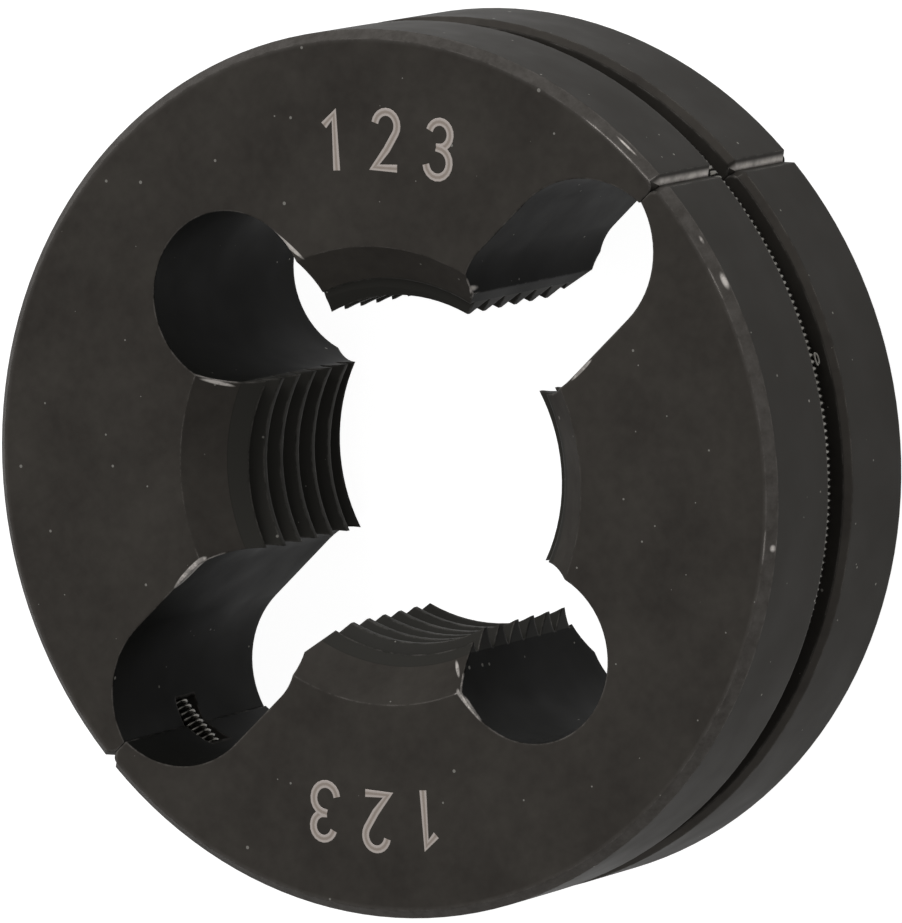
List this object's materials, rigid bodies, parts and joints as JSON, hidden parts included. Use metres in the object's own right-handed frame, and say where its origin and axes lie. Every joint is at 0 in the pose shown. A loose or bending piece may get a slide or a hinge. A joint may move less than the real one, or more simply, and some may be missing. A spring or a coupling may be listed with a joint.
{
  "type": "round threading die",
  "caption": "Two-piece round threading die with four chip holes, right-hand thread lands and a garter spring round the rim.",
  "frame": {"origin": "centre of the back face, on the thread axis", "axes": "+Z along the thread axis out of the numbered lead-in face; the split between the halves lies in the XZ plane and half A is on +Y"},
  "size_m": [0.0508, 0.0508, 0.0159],
  "materials": {
    "black_oxide_steel": "black oxide on hardened tool steel, satin, with worn bright edges",
    "spring_steel": "drawn spring wire, darkened by oil"
  },
  "bodies": {
    "half_a": {"die_half_a": "black_oxide_steel", "garter_spring": "spring_steel"},
    "half_b": {"die_half_b": "black_oxide_steel"}
  },
  "joints": [
    {"name": "halves_open", "type": "slide", "parent": "half_a", "child": "half_b", "axis": [0, -1, 0], "range_m": [0, 0.0225], "stiffness_N_per_m": 620, "springref_m": -0.005, "deforming": ["garter_spring"]}
  ]
}
